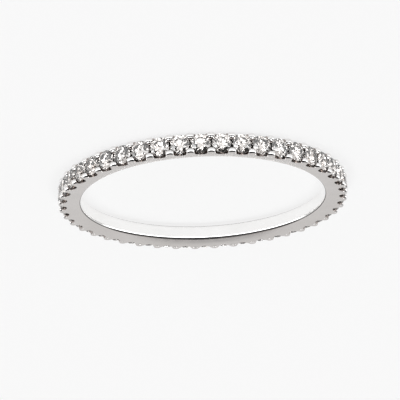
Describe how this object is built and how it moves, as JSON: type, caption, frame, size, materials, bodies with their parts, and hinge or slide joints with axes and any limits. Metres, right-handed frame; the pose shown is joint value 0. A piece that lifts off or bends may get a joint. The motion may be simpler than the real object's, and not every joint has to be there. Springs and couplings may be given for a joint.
{
  "type": "diamond wedding band",
  "caption": "Slim white gold ring set all the way round with small round diamonds, held by shared claws over scalloped sides.",
  "frame": {"origin": "on the surface the ring lies on, under the middle of the finger hole", "axes": "+Z along the axis of the finger hole, up from the surface; +X through the middle of stone_01; the stones number round from +X towards +Y"},
  "size_m": [0.0202, 0.0202, 0.0014],
  "materials": {
    "white_gold": "rhodium-plated white gold, high polish inside the finger hole and on the claws, fine satin polish on the sides",
    "diamond": "colourless diamond, polished facets"
  },
  "bodies": {
    "root": {"band": "white_gold", "stone_01": "diamond", "stone_02": "diamond", "stone_03": "diamond", "stone_04": "diamond", "stone_05": "diamond", "stone_06": "diamond", "stone_07": "diamond", "stone_08": "diamond", "stone_09": "diamond", "stone_10": "diamond", "stone_11": "diamond", "stone_12": "diamond", "stone_13": "diamond", "stone_14": "diamond", "stone_15": "diamond", "stone_16": "diamond", "stone_17": "diamond", "stone_18": "diamond", "stone_19": "diamond", "stone_20": "diamond", "stone_21": "diamond", "stone_22": "diamond", "stone_23": "diamond", "stone_24": "diamond", "stone_25": "diamond", "stone_26": "diamond", "stone_27": "diamond", "stone_28": "diamond", "stone_29": "diamond", "stone_30": "diamond", "stone_31": "diamond", "stone_32": "diamond", "stone_33": "diamond", "stone_34": "diamond", "stone_35": "diamond", "stone_36": "diamond", "stone_37": "diamond", "stone_38": "diamond", "stone_39": "diamond", "stone_40": "diamond", "stone_41": "diamond", "stone_42": "diamond", "stone_43": "diamond", "stone_44": "diamond"}
  },
  "joints": []
}
